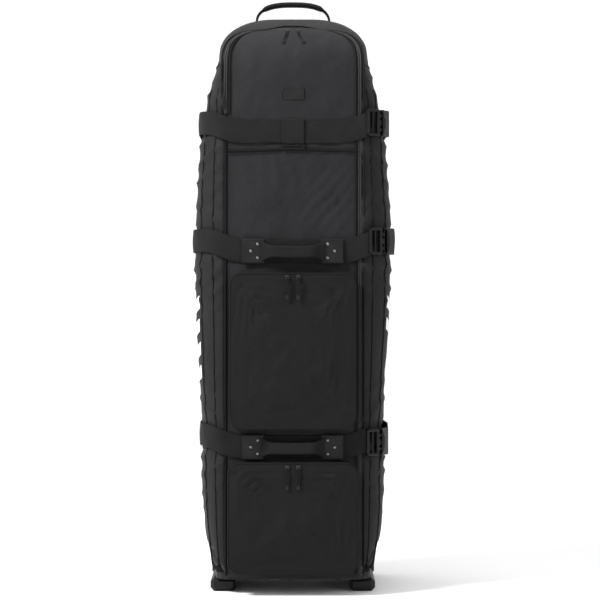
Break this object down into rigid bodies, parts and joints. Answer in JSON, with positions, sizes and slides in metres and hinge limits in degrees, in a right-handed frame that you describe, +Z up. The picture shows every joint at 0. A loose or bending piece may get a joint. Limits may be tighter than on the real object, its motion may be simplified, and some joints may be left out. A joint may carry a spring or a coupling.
{
  "type": "golf travel case",
  "caption": "Tall soft golf travel case on wheels, with a hinged front panel, zipped pockets, buckled straps and carry handles.",
  "frame": {"origin": "on the floor, under the middle of the case", "axes": "+Z up, -Y is the front with the pockets, +X is the side with the buckles"},
  "size_m": [0.4481, 0.3933, 1.312],
  "materials": {
    "shell_fabric": "matt",
    "webbing": "matt",
    "pull_cord": "matt",
    "foam_lining": "matt",
    "stiffener_board": "matt",
    "black_plastic": "satin",
    "wheel_rubber": "matt",
    "hub_plastic": "satin",
    "axle_steel": "satin",
    "zip_metal": "satin"
  },
  "bodies": {
    "root": {"back_panel": "shell_fabric", "side_panel_left": "shell_fabric", "side_panel_right": "shell_fabric", "hood_top": "shell_fabric", "hood_padding": "foam_lining", "back_board": "stiffener_board", "base_tray": "black_plastic", "foot_left": "black_plastic", "foot_right": "black_plastic", "wheel_housing_left": "black_plastic", "wheel_housing_right": "black_plastic", "axle_left": "axle_steel", "axle_right": "axle_steel", "buckle_female_top": "black_plastic", "buckle_female_mid": "black_plastic", "buckle_female_low": "black_plastic", "buckle_webbing_top": "webbing", "buckle_webbing_mid": "webbing", "buckle_webbing_low": "webbing", "ring_top": "black_plastic", "ring_mid": "black_plastic", "ring_low": "black_plastic", "ring_webbing_top": "webbing", "ring_webbing_mid": "webbing", "ring_webbing_low": "webbing"},
    "wheel_left": {"tyre_left": "wheel_rubber", "hub_left": "hub_plastic"},
    "wheel_right": {"tyre_right": "wheel_rubber", "hub_right": "hub_plastic"},
    "top_handle": {"top_handle": "webbing"},
    "front_door": {"front_panel": "shell_fabric", "pocket_mid_box": "shell_fabric", "pocket_low_box": "shell_fabric"},
    "mid_flap": {"pocket_mid_flap": "shell_fabric"},
    "low_flap": {"pocket_low_flap": "shell_fabric"},
    "keeper": {"strap_keeper": "webbing", "tri_glide": "black_plastic"},
    "strap_top": {"strap_top": "webbing", "buckle_male_top": "black_plastic"},
    "strap_mid": {"strap_mid": "webbing", "buckle_male_mid": "black_plastic", "handle_base_mid": "webbing"},
    "strap_low": {"strap_low": "webbing", "buckle_male_low": "black_plastic", "handle_base_low": "webbing"},
    "grip_mid": {"grip_mid": "webbing"},
    "grip_low": {"grip_low": "webbing"},
    "slider_main_left": {"slider_main_left": "zip_metal"},
    "pull_main_left": {"pull_main_left": "pull_cord"},
    "slider_main_right": {"slider_main_right": "zip_metal"},
    "pull_main_right": {"pull_main_right": "pull_cord"},
    "slider_mid_left": {"slider_mid_left": "zip_metal"},
    "pull_mid_left": {"pull_mid_left": "pull_cord"},
    "slider_mid_right": {"slider_mid_right": "zip_metal"},
    "pull_mid_right": {"pull_mid_right": "pull_cord"},
    "slider_low_left": {"slider_low_left": "zip_metal"},
    "pull_low_left": {"pull_low_left": "pull_cord"},
    "slider_low_right": {"slider_low_right": "zip_metal"},
    "pull_low_right": {"pull_low_right": "pull_cord"}
  },
  "joints": [
    {"name": "wheel_left_spin", "type": "hinge", "parent": "root", "child": "wheel_left", "pos_m": [-0.155, 0.15, 0.042], "axis": [1, 0, 0], "continuous": true},
    {"name": "wheel_right_spin", "type": "hinge", "parent": "root", "child": "wheel_right", "pos_m": [0.155, 0.15, 0.042], "axis": [1, 0, 0], "continuous": true},
    {"name": "top_handle_tip", "type": "hinge", "parent": "root", "child": "top_handle", "pos_m": [0, 0.02, 1.2745], "axis": [1, 0, 0], "range_deg": [-50, 50]},
    {"name": "front_panel_open", "type": "hinge", "parent": "root", "child": "front_door", "pos_m": [-0.1475, -0.152, 0.6], "axis": [0, 0, -1], "range_deg": [0, 95]},
    {"name": "mid_pocket_open", "type": "hinge", "parent": "front_door", "child": "mid_flap", "pos_m": [0, -0.1885, 0.3615], "axis": [1, 0, 0], "range_deg": [0, 100]},
    {"name": "low_pocket_open", "type": "hinge", "parent": "front_door", "child": "low_flap", "pos_m": [0, -0.1885, 0.049], "axis": [1, 0, 0], "range_deg": [0, 90]},
    {"name": "strap_top_swing", "type": "hinge", "parent": "root", "child": "strap_top", "pos_m": [-0.2072, 0.08, 1.026], "axis": [0, 0, -1], "range_deg": [0, 171]},
    {"name": "strap_mid_swing", "type": "hinge", "parent": "root", "child": "strap_mid", "pos_m": [-0.22026, 0.08, 0.768], "axis": [0, 0, -1], "range_deg": [0, 171]},
    {"name": "strap_low_swing", "type": "hinge", "parent": "root", "child": "strap_low", "pos_m": [-0.20495, 0.08, 0.3305], "axis": [0, 0, -1], "range_deg": [0, 171]},
    {"name": "keeper_slide", "type": "slide", "parent": "strap_top", "child": "keeper", "axis": [1, 0, 0], "range_m": [-0.03, 0.03]},
    {"name": "grip_mid_tip", "type": "hinge", "parent": "strap_mid", "child": "grip_mid", "pos_m": [0, -0.165, 0.746], "axis": [1, 0, 0], "range_deg": [-30, 30]},
    {"name": "grip_low_tip", "type": "hinge", "parent": "strap_low", "child": "grip_low", "pos_m": [0, -0.165, 0.3205], "axis": [1, 0, 0], "range_deg": [-30, 30]},
    {"name": "slider_main_left_slide", "type": "slide", "parent": "front_door", "child": "slider_main_left", "axis": [-1, 0, 0], "range_m": [0, 0.05]},
    {"name": "pull_main_left_lift", "type": "hinge", "parent": "slider_main_left", "child": "pull_main_left", "pos_m": [-0.012, -0.12432, 1.225], "axis": [-1, 0, 0], "range_deg": [0, 120]},
    {"name": "slider_main_right_slide", "type": "slide", "parent": "front_door", "child": "slider_main_right", "axis": [1, 0, 0], "range_m": [0, 0.05]},
    {"name": "pull_main_right_lift", "type": "hinge", "parent": "slider_main_right", "child": "pull_main_right", "pos_m": [0.012, -0.12432, 1.225], "axis": [-1, 0, 0], "range_deg": [0, 120]},
    {"name": "slider_mid_left_slide", "type": "slide", "parent": "mid_flap", "child": "slider_mid_left", "axis": [-1, 0, 0], "range_m": [0, 0.095]},
    {"name": "pull_mid_left_lift", "type": "hinge", "parent": "slider_mid_left", "child": "pull_mid_left", "pos_m": [-0.012, -0.2001, 0.687], "axis": [-1, 0, 0], "range_deg": [0, 120]},
    {"name": "slider_mid_right_slide", "type": "slide", "parent": "mid_flap", "child": "slider_mid_right", "axis": [1, 0, 0], "range_m": [0, 0.095]},
    {"name": "pull_mid_right_lift", "type": "hinge", "parent": "slider_mid_right", "child": "pull_mid_right", "pos_m": [0.012, -0.2001, 0.687], "axis": [-1, 0, 0], "range_deg": [0, 120]},
    {"name": "slider_low_left_slide", "type": "slide", "parent": "low_flap", "child": "slider_low_left", "axis": [-1, 0, 0], "range_m": [0, 0.095]},
    {"name": "pull_low_left_lift", "type": "hinge", "parent": "slider_low_left", "child": "pull_low_left", "pos_m": [-0.012, -0.2001, 0.2775], "axis": [-1, 0, 0], "range_deg": [0, 120]},
    {"name": "slider_low_right_slide", "type": "slide", "parent": "low_flap", "child": "slider_low_right", "axis": [1, 0, 0], "range_m": [0, 0.095]},
    {"name": "pull_low_right_lift", "type": "hinge", "parent": "slider_low_right", "child": "pull_low_right", "pos_m": [0.012, -0.2001, 0.2775], "axis": [-1, 0, 0], "range_deg": [0, 120]}
  ],
  "couplings": [
    {"joint": "strap_top_swing", "follows": "front_panel_open", "ratio": 1.8},
    {"joint": "strap_mid_swing", "follows": "front_panel_open", "ratio": 1.8},
    {"joint": "strap_low_swing", "follows": "front_panel_open", "ratio": 1.8}
  ]
}
